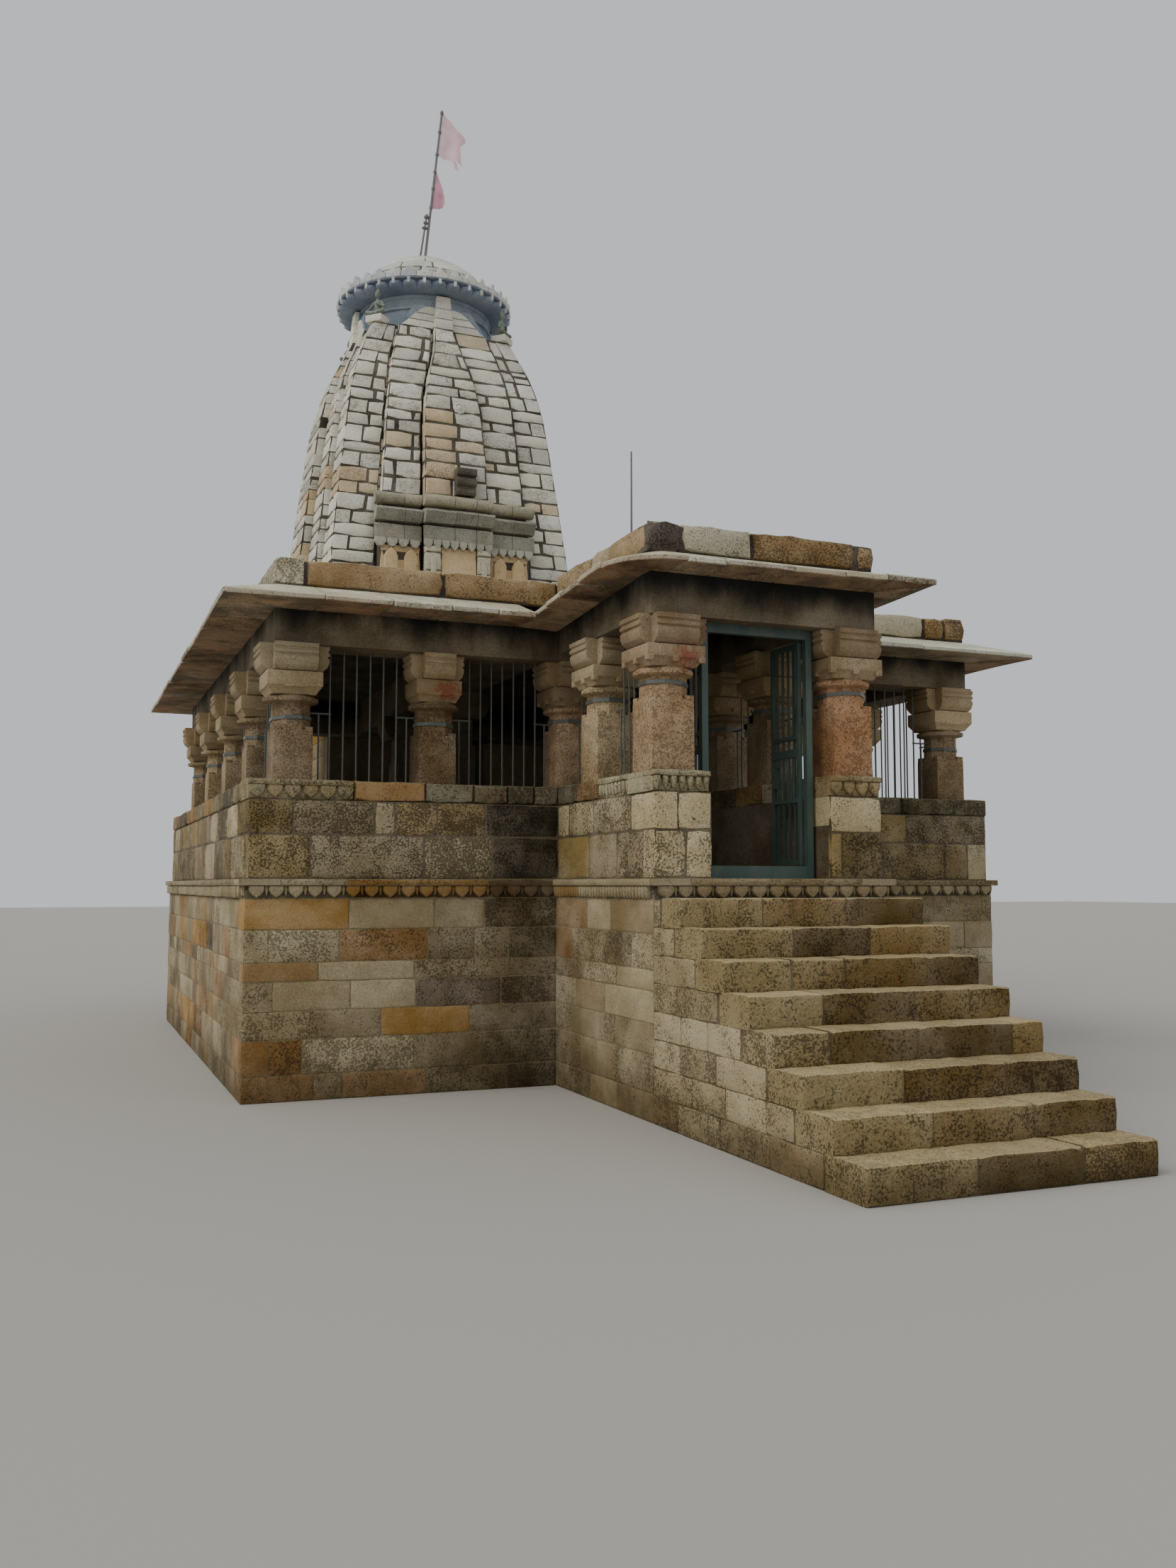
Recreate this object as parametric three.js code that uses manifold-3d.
// A small stone temple on a high plinth: a stair, a pillared porch and hall, and a curved tower
// with a ribbed disc over the shrine room behind.
// Millimetres, +Z up, X along the front, Y from the front to the back.
// Lengths below are measured from the front face of the hall's plinth, and the whole group is then
// moved so that the origin is the centre of its footprint at ground level.
import * as THREE from 'three';
import { mergeVertices } from 'three/addons/utils/BufferGeometryUtils.js';
import Module from 'manifold-3d';

const wasm = await Module();
wasm.setup();

// Joint left between two stones that rest on each other
const GAP = 0.3;

// Levels above the ground
const STEP_COUNT = 8;
const RISER = 188;
const TREAD = 295;
const PLINTH_TOP = STEP_COUNT * RISER;
const FLOOR = 1648;
const WALL_TOP = 2250;
const COPING_TOP = 2405;
const PORCH_BEAM = { bottom: 3500, top: 3900 };
const HALL_BEAM = { bottom: 3450, top: 3850 };
const EAVE_THICK = 50;
const KERB_HEIGHT = 225;
const ROOF_THICK = 140;

// Plan of the plinth
const PORCH = { half: 951, front: -1853 };
const HALL = { half: 3423, back: 6490 };
const SHRINE = { half: 2100, back: 9950 };
const STAIR_FRONT = -4331;
const LIP = { out: 47, height: 50 };

// Low walls: inset from the plinth's face, and as thick as the pillars need
const INSET = 27;
const WALL_THICK = 420;
const BACK_WALL_FRONT = 5980;
const DOOR_HALF = 490;
const COPING_OUT = 12;

// Pillars stand on the low walls
const PORCH_PILLAR = { side: 330, shaft: 525, neck: 625, x: 745, front: -1588, middle: -605 };
const HALL_PILLAR = { side: 300, shaft: 379, neck: 575, corner: 3070, second: 1927 };
// The two pillars of the front row between the corner and the porch have smaller heads
const SMALL_HEAD = { reach: 225, half: 130 };
const ROW_FRONT = 250;
const ROW_BACK = 6120;
const ROW_COUNT = 5;
const BRACKET = { reach: 280, half: 165, height: 250 };

// Roof edge: outer faces of the beams. The eave slabs hook over the beams; each has its reach, and
// the height of its flat underside at the beam and at the tip. The porch's eave falls toward the
// hall, where it meets the lower eave
const PORCH_FACE = { x: 930, front: -1780 };
const HALL_FACE = { x: 3230, front: 60, back: 6300 };
const BEAM_WIDE = 360;
const EAVE = {
  bearing: 215, edge: 45, clear: 1, fall: 105,
  porch: { out: 330, inner: 3800, tip: 3815 },
  hall: { out: 440, inner: 3714, tip: 3710 },
};

// Shrine and tower
const AXIS_Y = 7850;
const ROOM_HALF = 1050;
const CEILING = 3850;
const TOWER_FOOT = CEILING + ROOF_THICK;
const SPIRE_FOOT = 6660;
const SHOULDER = 9180;
const NECK_RADIUS = 925;
const DISC = { bottom: 9680, fillet: 9795, top: 9965, radius: 1225, ribs: 36 };
const CAP = { bottom: 10045, top: 10620, radius: 890 };

// The tower's outline: height, half width over the corner bands, half width of each face's middle band,
// and how much of their full projection the middle and side bands still have
const TOWER = [
  { z: TOWER_FOOT + GAP, half: 1615, middle: 435, forward: 1 },
  { z: 5850, half: 1600, middle: 430, forward: 1 },
  { z: SPIRE_FOOT, half: 1507, middle: 420, forward: 1 },
  { z: 7200, half: 1440, middle: 405, forward: 0.97 },
  { z: 7650, half: 1385, middle: 390, forward: 0.93 },
  { z: 8000, half: 1335, middle: 365, forward: 0.88 },
  { z: 8350, half: 1260, middle: 300, forward: 0.8 },
  { z: 8600, half: 1185, middle: 235, forward: 0.72 },
  { z: 8800, half: 1105, middle: 180, forward: 0.65 },
  { z: 9000, half: 1020, middle: 145, forward: 0.58 },
  { z: SHOULDER, half: 950, middle: 125, forward: 0.5 },
];
const FORWARD = { middle: 210, side: 90 };
const RECESS = { wide: 40, deep: 60 };

const stone = (color) => new THREE.MeshStandardMaterial({ color, roughness: 0.95, metalness: 0 });
const MATERIALS = {
  plinth: stone(0xa08a68),
  step: stone(0x857654),
  frieze: stone(0xb09668),
  wall: stone(0x9c8c70),
  coping: stone(0x8d8468),
  porchPillar: stone(0xb07a58),
  hallPillar: stone(0x9a8466),
  beam: stone(0x4a463e),
  eave: stone(0x8e8270),
  kerb: stone(0xa88c5c),
  roof: stone(0x8a8274),
  tower: stone(0x9c9686),
  disc: stone(0x76807c),
  cap: stone(0xb8b8a0),
  gate: new THREE.MeshStandardMaterial({ color: 0x4d6668, roughness: 0.55, metalness: 0.6 }),
  pole: new THREE.MeshStandardMaterial({ color: 0x8a8478, roughness: 0.6, metalness: 0.3 }),
  flag: new THREE.MeshStandardMaterial({ color: 0xc98a84, roughness: 0.9, metalness: 0 }),
};

const temple = new THREE.Group();
temple.name = 'temple';

function add(name, geometry, material, place = [0, 0, 0]) {
  const mesh = new THREE.Mesh(geometry, material);
  mesh.name = name;
  mesh.position.set(...place);
  temple.add(mesh);
  return mesh;
}

// Solids: a closed geometry becomes a manifold solid, is joined or cut, and comes back
function solid(geometry) {
  const bare = geometry.clone();
  bare.deleteAttribute('normal');
  bare.deleteAttribute('uv');
  const merged = mergeVertices(bare, 1e-3);
  return new wasm.Manifold(new wasm.Mesh({
    numProp: 3,
    vertProperties: new Float32Array(merged.attributes.position.array),
    triVerts: new Uint32Array(merged.index.array),
  }));
}

function geometryOf(manifold) {
  const mesh = manifold.getMesh();
  const geometry = new THREE.BufferGeometry();
  geometry.setAttribute('position', new THREE.BufferAttribute(new Float32Array(mesh.vertProperties), 3));
  geometry.setIndex(new THREE.BufferAttribute(new Uint32Array(mesh.triVerts), 1));
  const flat = geometry.toNonIndexed();
  flat.computeVertexNormals();
  return flat;
}

const join = (...parts) => geometryOf(parts.map(solid).reduce((a, b) => a.add(b)));
const cut = (whole, ...tools) => geometryOf(tools.map(solid).reduce((a, b) => a.subtract(b), solid(whole)));

function box(x0, x1, y0, y1, z0, z1) {
  const geometry = new THREE.BoxGeometry(x1 - x0, y1 - y0, z1 - z0);
  geometry.translate((x0 + x1) / 2, (y0 + y1) / 2, (z0 + z1) / 2);
  return geometry;
}

const mirrorX = (points) => points.map(([x, y]) => [-x, y]);

function slab(points, z0, z1) {
  const shape = new THREE.Shape(points.map(([x, y]) => new THREE.Vector2(x, y)));
  const geometry = new THREE.ExtrudeGeometry(shape, { depth: z1 - z0, bevelEnabled: false });
  geometry.translate(0, 0, z0);
  return geometry;
}

// A stack of outlines with the same number of points, closed by flat ends
function loft(rings) {
  const count = rings[0].points.length;
  const positions = rings.flatMap(({ points, z }) => points.flatMap(([x, y]) => [x, y, z]));
  const index = [];
  for (let level = 0; level < rings.length - 1; level += 1) {
    for (let i = 0; i < count; i += 1) {
      const j = (i + 1) % count;
      const a = level * count + i;
      const b = level * count + j;
      index.push(a, b, b + count, a, b + count, a + count);
    }
  }
  const cap = (level, up) => {
    const outline = rings[level].points.map(([x, y]) => new THREE.Vector2(x, y));
    for (const [a, b, c] of THREE.ShapeUtils.triangulateShape(outline, [])) {
      const start = level * count;
      index.push(...(up ? [start + a, start + b, start + c] : [start + a, start + c, start + b]));
    }
  };
  cap(0, false);
  cap(rings.length - 1, true);
  const geometry = new THREE.BufferGeometry();
  geometry.setAttribute('position', new THREE.BufferAttribute(new Float32Array(positions), 3));
  geometry.setIndex(index);
  const flat = geometry.toNonIndexed();
  flat.computeVertexNormals();
  return flat;
}

// A roof-edge course: a section of [outward, z] points swept along a plan path with mitred corners.
// The path runs with the outside on its right. The part that hangs out can fall at points of the path.
function edgeCourse(path, section, falls = []) {
  const bearing = section[0][1];
  const normals = path.slice(1).map(([x, y], i) => {
    const dx = x - path[i][0];
    const dy = y - path[i][1];
    const length = Math.hypot(dx, dy);
    return [dy / length, -dx / length];
  });
  const rings = path.map(([x, y], i) => {
    const before = normals[Math.max(i - 1, 0)];
    const after = normals[Math.min(i, normals.length - 1)];
    const scale = 1 + before[0] * after[0] + before[1] * after[1];
    const out = [(before[0] + after[0]) / scale, (before[1] + after[1]) / scale];
    const fall = falls[i] ?? 0;
    return section.map(([off, z]) => [x + out[0] * off, y + out[1] * off, z < bearing ? z - fall : z]);
  });
  const count = section.length;
  const index = [];
  for (let i = 0; i < rings.length - 1; i += 1) {
    for (let k = 0; k < count; k += 1) {
      const a = i * count + k;
      const b = i * count + ((k + 1) % count);
      index.push(a, b + count, b, a, a + count, b + count);
    }
  }
  const outline = section.map(([off, z]) => new THREE.Vector2(off, z));
  const last = (rings.length - 1) * count;
  for (const [a, b, c] of THREE.ShapeUtils.triangulateShape(outline, [])) {
    index.push(a, b, c);
    index.push(last + a, last + c, last + b);
  }
  const geometry = new THREE.BufferGeometry();
  geometry.setAttribute('position', new THREE.BufferAttribute(new Float32Array(rings.flat(2)), 3));
  geometry.setIndex(index);
  const flat = geometry.toNonIndexed();
  flat.computeVertexNormals();
  return flat;
}

// Stair: each course runs back under the ones above it to the porch's plinth
function stair() {
  for (let i = 0; i < STEP_COUNT; i += 1) {
    const front = STAIR_FRONT + i * TREAD;
    const foot = i === 0 ? 0 : i * RISER + GAP;
    const course = box(-PORCH.half, PORCH.half, front, PORCH.front - GAP, foot, (i + 1) * RISER);
    add(`step_${i + 1}`, course, MATERIALS.step);
  }
}

// Plinth: solid masonry in three blocks under one floor course with a projecting upper lip
function plinth() {
  const top = PLINTH_TOP - GAP;
  add('porch_plinth', box(-PORCH.half, PORCH.half, PORCH.front, -GAP, 0, top), MATERIALS.plinth);
  add('hall_plinth', box(-HALL.half, HALL.half, 0, HALL.back, 0, top), MATERIALS.plinth);
  const shrine = box(-SHRINE.half, SHRINE.half, HALL.back + GAP, SHRINE.back, 0, top);
  add('shrine_plinth', shrine, MATERIALS.plinth);
  const outline = (out) => [
    [-PORCH.half - out, PORCH.front - out], [PORCH.half + out, PORCH.front - out],
    [PORCH.half + out, -out], [HALL.half + out, -out],
    [HALL.half + out, HALL.back + out], [SHRINE.half + out, HALL.back + out],
    [SHRINE.half + out, SHRINE.back + out], [-SHRINE.half - out, SHRINE.back + out],
    [-SHRINE.half - out, HALL.back + out], [-HALL.half - out, HALL.back + out],
    [-HALL.half - out, -out], [-PORCH.half - out, -out],
  ];
  const course = join(
    slab(outline(0), PLINTH_TOP, FLOOR),
    slab(outline(LIP.out), FLOOR - LIP.height, FLOOR),
  );
  add('floor_course', course, MATERIALS.frieze);
}

// Low walls round the porch and the hall, with a carved coping course along each side
function lowWalls() {
  const z0 = FLOOR + GAP;
  const z1 = WALL_TOP;
  const outer = { x: HALL.half - INSET, front: INSET, back: HALL.back - INSET };
  const porch = { outer: PORCH.half - INSET, inner: DOOR_HALF, front: PORCH.front + INSET };
  const shrineSide = ROOM_HALF + 620;
  for (const [side, sign] of [['left', 1], ['right', -1]]) {
    const place = (points) => (sign === 1 ? mirrorX(points).reverse() : points);
    const wall = (name, points) => add(`${name}_${side}`, slab(place(points), z0, z1), MATERIALS.wall);
    wall('porch_wall', [
      [porch.inner, porch.front], [porch.outer, porch.front],
      [porch.outer, outer.front + WALL_THICK], [porch.inner, outer.front + WALL_THICK],
    ]);
    wall('front_wall', [
      [porch.outer + GAP, outer.front], [outer.x - WALL_THICK - GAP, outer.front],
      [outer.x - WALL_THICK - GAP, outer.front + WALL_THICK], [porch.outer + GAP, outer.front + WALL_THICK],
    ]);
    wall('side_wall', [
      [outer.x - WALL_THICK, outer.front], [outer.x, outer.front],
      [outer.x, outer.back], [shrineSide + GAP, outer.back],
      [shrineSide + GAP, BACK_WALL_FRONT], [outer.x - WALL_THICK, BACK_WALL_FRONT],
    ]);
    const o = COPING_OUT;
    const coping = [
      [porch.inner, porch.front - o], [porch.outer + o, porch.front - o],
      [porch.outer + o, outer.front - o], [outer.x + o, outer.front - o],
      [outer.x + o, outer.back + o], [shrineSide + GAP, outer.back + o],
      [shrineSide + GAP, BACK_WALL_FRONT], [outer.x - WALL_THICK, BACK_WALL_FRONT],
      [outer.x - WALL_THICK, outer.front + WALL_THICK], [porch.inner, outer.front + WALL_THICK],
    ];
    add(`coping_${side}`, slab(place(coping), WALL_TOP + GAP, COPING_TOP), MATERIALS.coping);
  }
}

// One pillar: square lower shaft, eight-sided upper shaft, round collar, block and cross bracket
function pillar({ side, shaft, neck }, height, head = BRACKET) {
  const half = side / 2;
  const corner = half * Math.tan(Math.PI / 8);
  const octagon = [
    [half, -corner], [half, corner], [corner, half], [-corner, half],
    [-half, corner], [-half, -corner], [-corner, -half], [corner, -half],
  ];
  const blockFoot = height - BRACKET.height - 115;
  const collar = new THREE.CylinderGeometry(side * 0.66, side * 0.6, 70, 16);
  collar.rotateX(Math.PI / 2);
  collar.translate(0, 0, neck + 35);
  const bell = new THREE.CylinderGeometry(side * 0.6, side * 0.5, blockFoot - neck - 60, 16);
  bell.rotateX(Math.PI / 2);
  bell.translate(0, 0, (neck + 60 + blockFoot) / 2);
  const blockHalf = head.reach * 0.8;
  return join(
    box(-half, half, -half, half, 0, shaft),
    slab(octagon, shaft - 1, neck + 1),
    collar,
    bell,
    box(-blockHalf, blockHalf, -blockHalf, blockHalf, blockFoot - 1, height - BRACKET.height + 1),
    ...bracket(height, head),
  );
}

// Two crossed arms with a straight upper edge and a rounded lower one
function bracket(top, { reach, half }) {
  const { height } = BRACKET;
  const side = [
    [reach, 0], [reach, -0.44 * height], [0.97 * reach, -0.66 * height],
    [0.87 * reach, -0.86 * height], [0.72 * reach, -height],
  ];
  const outline = [...side, ...mirrorX(side).reverse()].reverse();
  const shape = new THREE.Shape(outline.map(([x, y]) => new THREE.Vector2(x, y)));
  return [0, Math.PI / 2].map((turn) => {
    const arm = new THREE.ExtrudeGeometry(shape, { depth: 2 * half, bevelEnabled: false });
    arm.translate(0, 0, -half);
    arm.rotateX(Math.PI / 2);
    arm.rotateZ(turn);
    arm.translate(0, 0, top);
    return arm;
  });
}

// Pillars and the beams on them
function pillarsAndBeams() {
  const foot = COPING_TOP + GAP;
  const porchPillar = pillar(PORCH_PILLAR, PORCH_BEAM.bottom - foot);
  const junctionPillar = pillar(PORCH_PILLAR, HALL_BEAM.bottom - foot);
  const hallPillar = pillar(HALL_PILLAR, HALL_BEAM.bottom - foot);
  const secondPillar = pillar(HALL_PILLAR, HALL_BEAM.bottom - foot, SMALL_HEAD);
  const rowSpacing = (ROW_BACK - ROW_FRONT) / (ROW_COUNT - 1);
  const sides = [['left', -1], ['right', 1]];
  for (const [side, sign] of sides) {
    const x = sign * PORCH_PILLAR.x;
    add(`porch_pillar_front_${side}`, porchPillar, MATERIALS.porchPillar, [x, PORCH_PILLAR.front, foot]);
    add(`porch_pillar_middle_${side}`, porchPillar, MATERIALS.porchPillar, [x, PORCH_PILLAR.middle, foot]);
    add(`junction_pillar_${side}`, junctionPillar, MATERIALS.hallPillar, [x, ROW_FRONT, foot]);
    const second = [sign * HALL_PILLAR.second, ROW_FRONT, foot];
    add(`front_pillar_${side}`, secondPillar, MATERIALS.hallPillar, second);
    const inner = sign * (HALL_FACE.x - BEAM_WIDE);
    const [x0, x1] = [inner, sign * HALL_FACE.x].sort((a, b) => a - b);
    const row = Array.from({ length: ROW_COUNT }, (unused, i) => {
      const copy = hallPillar.clone();
      copy.translate(sign * HALL_PILLAR.corner, ROW_FRONT + i * rowSpacing, foot);
      return copy;
    });
    const beam = box(
      x0, x1,
      HALL_FACE.front + BEAM_WIDE + GAP, HALL_FACE.back - BEAM_WIDE - GAP,
      HALL_BEAM.bottom, HALL_BEAM.top,
    );
    add(`side_colonnade_${side}`, join(beam, ...row), MATERIALS.hallPillar);
  }

  const cross = (name, y0) => add(
    name,
    box(-HALL_FACE.x, HALL_FACE.x, y0, y0 + BEAM_WIDE, HALL_BEAM.bottom + GAP, HALL_BEAM.top),
    MATERIALS.beam,
  );
  cross('front_beam', HALL_FACE.front);
  cross('back_beam', HALL_FACE.back - BEAM_WIDE);

  const inner = PORCH_FACE.x - BEAM_WIDE;
  const rear = HALL_FACE.front - GAP;
  const z0 = PORCH_BEAM.bottom + GAP;
  const seatFront = ROW_FRONT - BRACKET.reach;
  const legs = [[-PORCH_FACE.x, -inner], [inner, PORCH_FACE.x]].flatMap(([x0, x1]) => [
    box(x0, x1, PORCH_FACE.front, rear, z0, PORCH_BEAM.top),
    box(x0, x1, seatFront, rear, HALL_BEAM.bottom + GAP, PORCH_BEAM.top),
  ]);
  const front = box(
    -PORCH_FACE.x, PORCH_FACE.x, PORCH_FACE.front, PORCH_FACE.front + BEAM_WIDE, z0, PORCH_BEAM.top,
  );
  add('porch_beams', join(front, ...legs), MATERIALS.beam);
}

// Four pillars inside the hall with two long beams, which carry the middle of the roof
function innerFrames() {
  const foot = FLOOR + GAP;
  const top = HALL_BEAM.bottom;
  const half = 150;
  const innerPillar = join(
    box(-half, half, -half, half, 0, 1300),
    box(-half * 0.85, half * 0.85, -half * 0.85, half * 0.85, 1299, top - foot - 249),
    ...bracket(top - foot, BRACKET),
  );
  const reach = { front: HALL_FACE.front + BEAM_WIDE + GAP, back: HALL_FACE.back - BEAM_WIDE - GAP };
  for (const [side, sign] of [['left', -1], ['right', 1]]) {
    const x = sign * 1150;
    const posts = [2210, 4160].map((y) => innerPillar.clone().translate(x, y, foot));
    const beam = box(x - half, x + half, reach.front, reach.back, top, HALL_BEAM.top);
    add(`inner_frame_${side}`, join(beam, ...posts), MATERIALS.hallPillar);
  }
}

// Roof: ceiling slabs, sloping eave slabs, and the kerb course that stands on them
function roof() {
  const section = (beamTop, { out, inner, tip }) => [
    [-EAVE.bearing, beamTop + GAP], [EAVE.clear, beamTop + GAP], [EAVE.clear, inner],
    [out, tip], [out, tip + EAVE.edge], [0, beamTop + EAVE_THICK],
    [-EAVE.bearing, beamTop + EAVE_THICK],
  ];
  const kerbSection = (beamTop) => [
    [-EAVE.bearing, beamTop + EAVE_THICK + GAP], [0, beamTop + EAVE_THICK + GAP],
    [0, beamTop + EAVE_THICK + KERB_HEIGHT], [-EAVE.bearing, beamTop + EAVE_THICK + KERB_HEIGHT],
  ];
  const shrineEdge = ROOM_HALF + 790;
  const porchRear = HALL_FACE.front - GAP;
  const porchPath = [
    [-PORCH_FACE.x, porchRear], [-PORCH_FACE.x, PORCH_FACE.front],
    [PORCH_FACE.x, PORCH_FACE.front], [PORCH_FACE.x, porchRear],
  ];
  const falls = [EAVE.fall, 0, 0, EAVE.fall];
  add('porch_eaves', edgeCourse(porchPath, section(PORCH_BEAM.top, EAVE.porch), falls), MATERIALS.eave);
  add('porch_kerb', edgeCourse(porchPath, kerbSection(PORCH_BEAM.top)), MATERIALS.kerb);
  const inside = PORCH_FACE.x - EAVE.bearing - GAP;
  const porchRoof = box(
    -inside, inside, PORCH_FACE.front + EAVE.bearing + GAP, HALL_FACE.front - GAP,
    PORCH_BEAM.top + GAP, PORCH_BEAM.top + ROOF_THICK,
  );
  add('porch_roof', porchRoof, MATERIALS.roof);

  const leftPath = [
    [-shrineEdge, HALL_FACE.back], [-HALL_FACE.x, HALL_FACE.back],
    [-HALL_FACE.x, HALL_FACE.front], [-PORCH_FACE.x - EAVE.porch.out - 2, HALL_FACE.front],
  ];
  const rightPath = mirrorX(leftPath).reverse();
  add('hall_eaves_left', edgeCourse(leftPath, section(HALL_BEAM.top, EAVE.hall)), MATERIALS.eave);
  add('hall_eaves_right', edgeCourse(rightPath, section(HALL_BEAM.top, EAVE.hall)), MATERIALS.eave);
  const kerbPath = [leftPath[0], leftPath[1], leftPath[2], rightPath[1], rightPath[2], rightPath[3]];
  add('hall_kerb', edgeCourse(kerbPath, kerbSection(HALL_BEAM.top)), MATERIALS.kerb);
  const x = HALL_FACE.x - EAVE.bearing - GAP;
  const y0 = HALL_FACE.front + EAVE.bearing + GAP;
  const hallRoof = box(
    -x, x, y0, HALL_FACE.back - EAVE.bearing - GAP,
    HALL_BEAM.top + GAP, HALL_BEAM.top + ROOF_THICK,
  );
  add('hall_roof', hallRoof, MATERIALS.roof);
}

// Plan of the tower: on each face a middle band stands forward of two side bands, and those of the
// corner bands, with a narrow recess between bands
function bandedPlan({ half, middle, forward }) {
  const side = half * 0.635;
  const line = -half;
  const recess = line + RECESS.deep * forward;
  const face = [
    [-half, line], [-side - RECESS.wide, line], [-side - RECESS.wide, recess], [-side, recess],
    [-side, line - FORWARD.side * forward], [-middle - RECESS.wide, line - FORWARD.side * forward],
    [-middle - RECESS.wide, recess], [-middle, recess], [-middle, line - FORWARD.middle * forward],
  ];
  const front = [...face, ...mirrorX(face).reverse()];
  front.pop();
  return [0, 1, 2, 3].flatMap((turn) => front.map(([x, y]) => {
    const [c, s] = [[1, 0], [0, 1], [-1, 0], [0, -1]][turn];
    return [x * c - y * s, x * s + y * c + AXIS_Y];
  }));
}

function shrine() {
  const z0 = FLOOR + GAP;
  const z1 = CEILING;
  const outer = ROOM_HALF + 550;
  const front = HALL_FACE.back + GAP;
  const roomFront = AXIS_Y - ROOM_HALF;
  const back = AXIS_Y + outer;
  const roomBack = AXIS_Y + ROOM_HALF;
  const forward = 230;
  add('shrine_walls', join(
    box(-outer, -ROOM_HALF - GAP, front, back, z0, z1),
    box(ROOM_HALF + GAP, outer, front, back, z0, z1),
    box(-outer, outer, roomBack, back, z0, z1),
    box(-outer - forward, -ROOM_HALF - 200, AXIS_Y - 500, AXIS_Y + 500, z0, z1),
    box(ROOM_HALF + 200, outer + forward, AXIS_Y - 500, AXIS_Y + 500, z0, z1),
    box(-500, 500, roomBack + 200, back + forward, z0, z1),
  ), MATERIALS.wall);
  const doorHalf = 450;
  const doorTop = 3500;
  add('shrine_front_wall', cut(
    box(-ROOM_HALF, ROOM_HALF, front, roomFront, z0, z1),
    box(-doorHalf, doorHalf, front - 10, roomFront + 10, z0 - 10, doorTop),
  ), MATERIALS.wall);
  const cover = outer + forward;
  const ceilingFront = HALL_FACE.back - EAVE.bearing;
  add('shrine_ceiling', box(
    -cover, cover, ceilingFront, back + forward, CEILING + GAP, TOWER_FOOT,
  ), MATERIALS.roof);
}

// Half width over the corner bands at a height
function towerHalf(z) {
  const i = Math.max(1, TOWER.findIndex((level) => level.z >= z));
  const [a, b] = [TOWER[i - 1], TOWER[i]];
  return a.half + ((b.half - a.half) * (z - a.z)) / (b.z - a.z);
}

function lathe(points, segments) {
  const turned = new THREE.LatheGeometry(points.map(([r, z]) => new THREE.Vector2(r, z)), segments);
  turned.rotateX(Math.PI / 2);
  turned.translate(0, AXIS_Y, 0);
  return geometryOf(solid(turned));
}

// Tower: foot, cornice, curved spire, round neck, ribbed disc and low domed cap
function tower() {
  const level = (item, lift = 0) => ({ points: bandedPlan(item), z: item.z + lift });
  const split = TOWER.findIndex(({ z }) => z === SPIRE_FOOT);
  add('tower_foot', loft(TOWER.slice(0, split + 1).map((item) => level(item))), MATERIALS.tower);
  const spire = loft(TOWER.slice(split).map((item, i) => level(item, i === 0 ? GAP : 0)));
  const face = AXIS_Y - towerHalf(7000) - FORWARD.middle;
  const corbel = box(-20, 220, face - 130, face + 150, SPIRE_FOOT + GAP, 7000);
  add('spire', join(spire, corbel), MATERIALS.tower);
  add('tower_cornice', cornice(), MATERIALS.tower);
  add('tower_neck', neck(), MATERIALS.disc);
  add('ribbed_disc', ribbedDisc(), MATERIALS.disc);
  const capFoot = DISC.top + GAP;
  const { radius, bottom, top } = CAP;
  add('tower_cap', lathe([
    [0, capFoot], [radius - 90, capFoot], [radius - 90, bottom - 15], [radius, bottom], [radius, bottom + 65],
    [radius * 0.88, bottom + 190], [radius * 0.68, bottom + 330],
    [radius * 0.44, bottom + 450], [radius * 0.2, bottom + 535], [0, top],
  ], 32), MATERIALS.cap);
}

// Cornice on the front face only: a scalloped band, a shelf and a round moulding, over the side bands
// and further forward over the middle band
function cornice() {
  const profile = [
    [0, 6000], [65, 6000], [75, 6060], [75, 6210], [95, 6235], [185, 6365], [190, 6400],
    [85, 6425], [75, 6465], [120, 6500], [135, 6550], [120, 6600], [75, 6635], [0, 6640],
  ];
  const turn = new THREE.Matrix4().makeBasis(
    new THREE.Vector3(0, 1, 0),
    new THREE.Vector3(0, 0, 1),
    new THREE.Vector3(1, 0, 0),
  );
  const run = (x0, x1, forward) => {
    const outline = profile.map(([out, z]) => [AXIS_Y - towerHalf(z) - forward - GAP - out, z]);
    return slab(outline.reverse(), x0, x1).applyMatrix4(turn);
  };
  return join(run(-460, 460, FORWARD.middle), run(459, 1075, FORWARD.side), run(-1075, -459, FORWARD.side));
}

// Round neck with two rings, and in front of it the tapering tops of the side and middle bands
function neck() {
  const foot = SHOULDER + GAP;
  const top = DISC.bottom - GAP;
  const r = NECK_RADIUS;
  const core = lathe([
    [0, foot], [r, foot], [r, 9475], [r + 30, 9490], [r + 30, 9515], [r, 9530],
    [r, 9625], [r + 25, 9640], [r + 25, top], [0, top],
  ], 40);
  const last = TOWER[TOWER.length - 1];
  const tongue = (lower, upper) => [0, 1, 2, 3].map((quarter) => {
    const piece = loft([lower, upper].map(({ half, out, z }) => ({
      points: [[-half, -out], [half, -out], [half, -600], [-half, -600]],
      z,
    })));
    piece.rotateZ((quarter * Math.PI) / 2);
    return piece.translate(0, AXIS_Y, 0);
  });
  const side = tongue(
    { half: last.half * 0.635, out: last.half + FORWARD.side * last.forward, z: foot },
    { half: 400, out: 965, z: 9500 },
  );
  const middle = tongue(
    { half: last.middle, out: last.half + FORWARD.middle * last.forward, z: foot },
    { half: 90, out: 1010, z: 9655 },
  );
  return join(core, ...side, ...middle);
}

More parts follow.
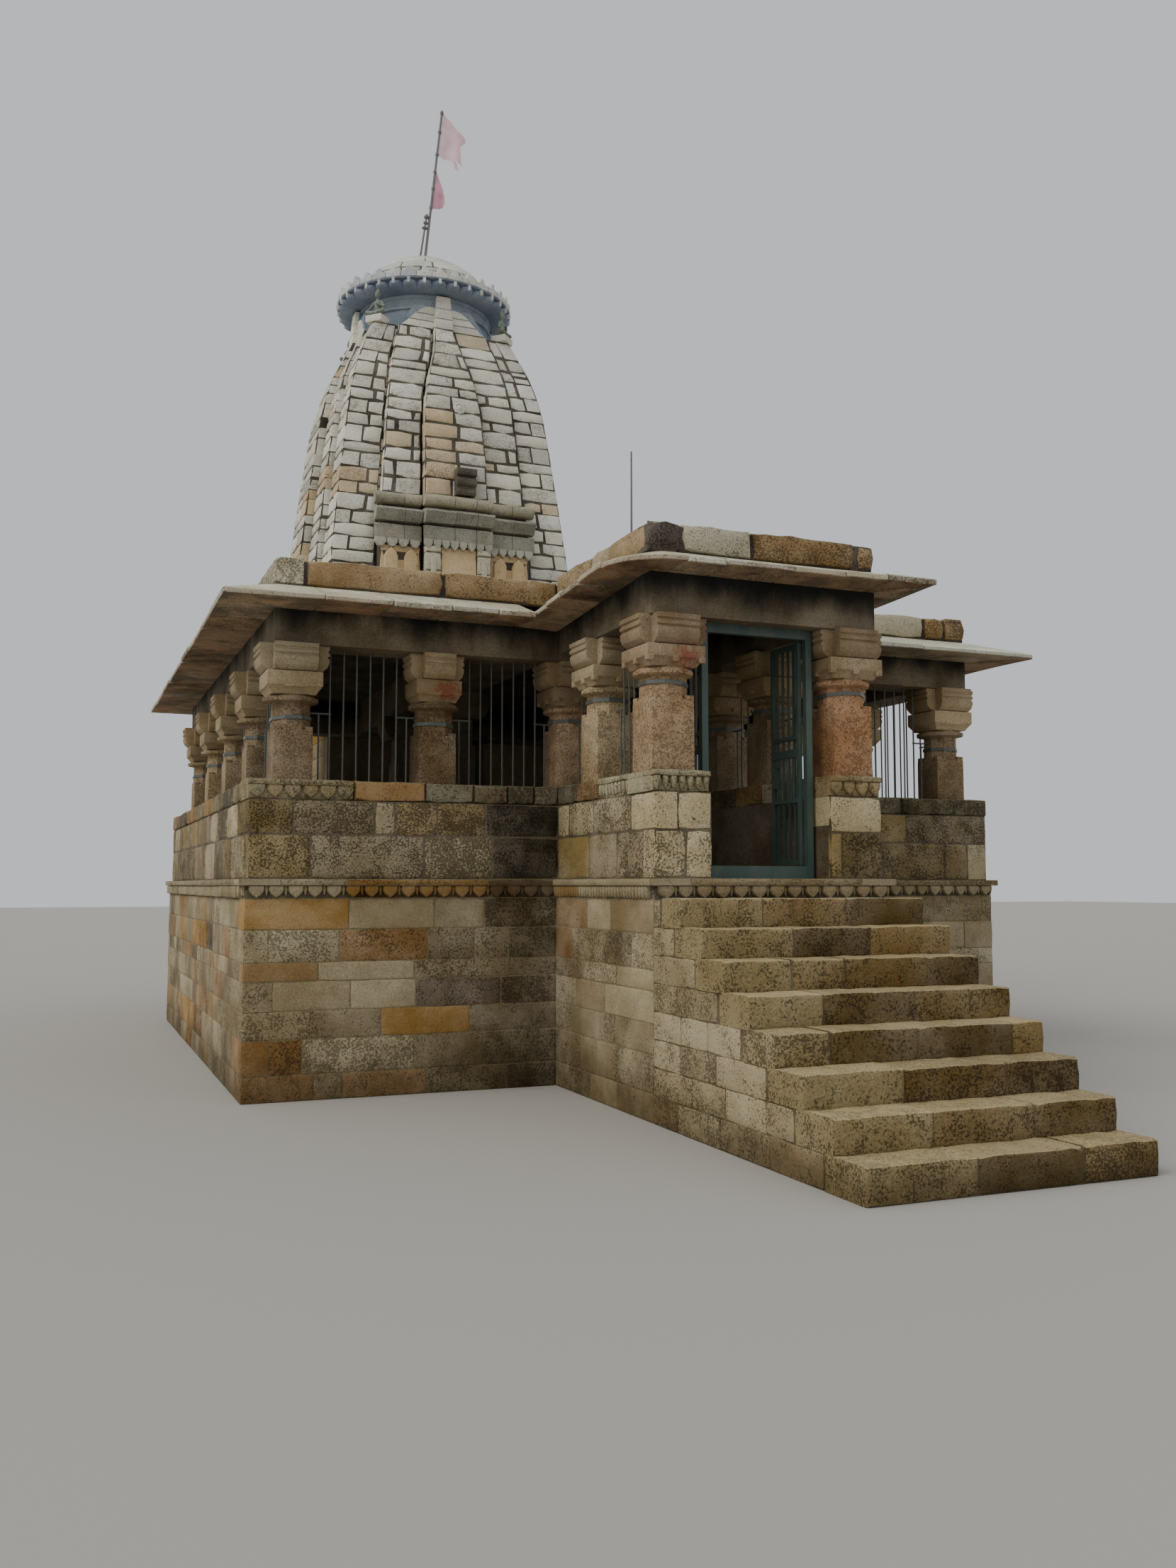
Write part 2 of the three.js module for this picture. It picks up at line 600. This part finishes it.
// The disc's underside and rim are a ring of rounded ribs, under a thin fillet and an upright crest
function ribbedDisc() {
  const { bottom, fillet, top, radius, ribs } = DISC;
  const perRib = 4;
  const count = ribs * perRib;
  const rings = [
    [radius - 265, bottom, 0], [radius - 120, bottom + 5, 0.02], [radius - 35, bottom + 30, 0.045],
    [radius, bottom + 70, 0.05], [radius - 15, fillet - 10, 0.035], [radius + 10, fillet - 5, 0],
    [radius + 10, fillet + 10, 0], [radius - 30, fillet + 15, 0], [radius + 5, top, 0],
  ];
  return loft(rings.map(([r, z, groove]) => ({
    points: Array.from({ length: count }, (unused, i) => {
      const reach = i % perRib === 0 ? r * (1 - groove) : r;
      const angle = (2 * Math.PI * i) / count;
      return [reach * Math.cos(angle), reach * Math.sin(angle) + AXIS_Y];
    }),
    z,
  })));
}

// Flag pole with two flags, and a thin rod on the hall's roof
const POLE = { foot: 20, tip: 16 };

function poles() {
  const foot = new THREE.Vector3(0, AXIS_Y, CAP.top - 2);
  const tip = new THREE.Vector3(240, AXIS_Y, 12950);
  const along = tip.clone().sub(foot);
  const length = along.length();
  const pole = new THREE.CylinderGeometry(POLE.tip, POLE.foot, length, 12);
  pole.translate(0, length / 2, 0);
  const turn = new THREE.Quaternion().setFromUnitVectors(new THREE.Vector3(0, 1, 0), along.clone().normalize());
  pole.applyQuaternion(turn);
  pole.translate(foot.x, foot.y, foot.z);
  const seat = new THREE.CylinderGeometry(60, 60, 30, 12);
  seat.rotateX(Math.PI / 2);
  seat.translate(foot.x, foot.y, CAP.top + 15 + GAP);
  const below = box(-200, 200, AXIS_Y - 200, AXIS_Y + 200, CAP.top - 100, CAP.top + GAP);
  add('flag_pole', cut(join(pole, seat), below), MATERIALS.pole);

  // A flag is a thin cloth hanging from its edge at the pole
  const poleX = (z) => foot.x + (along.x * (z - foot.z)) / along.z;
  const flag = (name, outline) => {
    const shape = new THREE.Shape(outline.map(([x, z]) => new THREE.Vector2(x, z)));
    const cloth = new THREE.ExtrudeGeometry(shape, { depth: 16, bevelEnabled: false });
    cloth.translate(0, 0, -8);
    cloth.rotateX(Math.PI / 2);
    cloth.translate(0, AXIS_Y, 0);
    add(name, cloth, MATERIALS.flag);
  };
  const edge = (z) => {
    const rise = (z - foot.z) / along.z;
    const radius = POLE.foot + (POLE.tip - POLE.foot) * rise;
    return poleX(z) + (radius * length) / along.z + GAP;
  };
  flag('flag_upper', [
    [edge(12210), 12210], [490, 12080], [620, 12640], [edge(12940), 12940],
  ]);
  flag('flag_lower', [
    [edge(11420), 11420], [300, 11540], [260, 11800], [edge(12020), 12020],
  ]);

  const rod = new THREE.CylinderGeometry(8, 12, 1530, 8);
  rod.rotateX(Math.PI / 2);
  rod.translate(0, 600, HALL_BEAM.top + ROOF_THICK + GAP + 765);
  add('roof_rod', rod, MATERIALS.pole);
}

// Steel gate: a fixed frame in the doorway with two narrow leaves, each hinged on its post and
// standing open against the porch wall
const GATE = { y: -1640, outer: 460, post: 50, sillTop: 1740, railFoot: 3430, leaf: 400, thick: 30, clear: 14 };
const PIVOT = { radius: 10, lug: 50 };

function gate() {
  const { outer } = GATE;
  const inner = outer - GATE.post;
  const back = GATE.y + GATE.post;
  const bottom = FLOOR + GAP;
  const top = PORCH_BEAM.bottom;
  // Lugs behind the sill and the head hold each leaf's pivot pins
  const lugs = [[-outer, -inner + PIVOT.lug], [inner - PIVOT.lug, outer]].flatMap(([x0, x1]) => [
    box(x0, x1, back - 1, back + PIVOT.lug, bottom, GATE.sillTop),
    box(x0, x1, back - 1, back + PIVOT.lug, GATE.railFoot, top),
  ]);
  add('gate_frame', join(
    box(-outer, -inner, GATE.y, back, bottom, top),
    box(inner, outer, GATE.y, back, bottom, top),
    box(-outer, outer, GATE.y, back, bottom, GATE.sillTop),
    box(-outer, outer, GATE.y, back, GATE.railFoot, top),
    ...lugs,
  ), MATERIALS.gate);

  const z0 = GATE.sillTop + 12;
  const z1 = GATE.railFoot - 12;
  for (const [side, sign] of [['left', -1], ['right', 1]]) {
    const x0 = sign === 1 ? inner - GATE.thick : -inner;
    const y0 = back + GATE.clear;
    const y1 = y0 + GATE.leaf;
    const strip = (ya, yb, za, zb) => box(x0, x0 + GATE.thick, ya, yb, za, zb);
    const bars = Array.from({ length: 4 }, (unused, i) => {
      const y = y0 + ((i + 1) * GATE.leaf) / 5;
      return box(x0 + 8, x0 + GATE.thick - 8, y - 8, y + 8, z0 + 10, z1 - 10);
    });
    const pin = new THREE.CylinderGeometry(
      PIVOT.radius, PIVOT.radius, GATE.railFoot - GATE.sillTop - 2 * GAP, 12,
    );
    pin.rotateX(Math.PI / 2);
    pin.translate(x0 + GATE.thick / 2, y0 + GATE.thick / 2, (GATE.railFoot + GATE.sillTop) / 2);
    add(`gate_leaf_${side}`, join(
      pin,
      strip(y0, y0 + 30, z0, z1),
      strip(y1 - 30, y1, z0, z1),
      strip(y0, y1, z0, z0 + 40),
      strip(y0, y1, z1 - 40, z1),
      strip(y0, y1, 2560, 2620),
      ...bars,
    ), MATERIALS.gate);
  }
}

stair();
plinth();
lowWalls();
pillarsAndBeams();
innerFrames();
roof();
shrine();
tower();
poles();
gate();

// The origin is the middle of the footprint, from the foot of the stair to the shrine's plinth
temple.position.y = -(STAIR_FRONT + SHRINE.back + LIP.out) / 2;

export default temple;
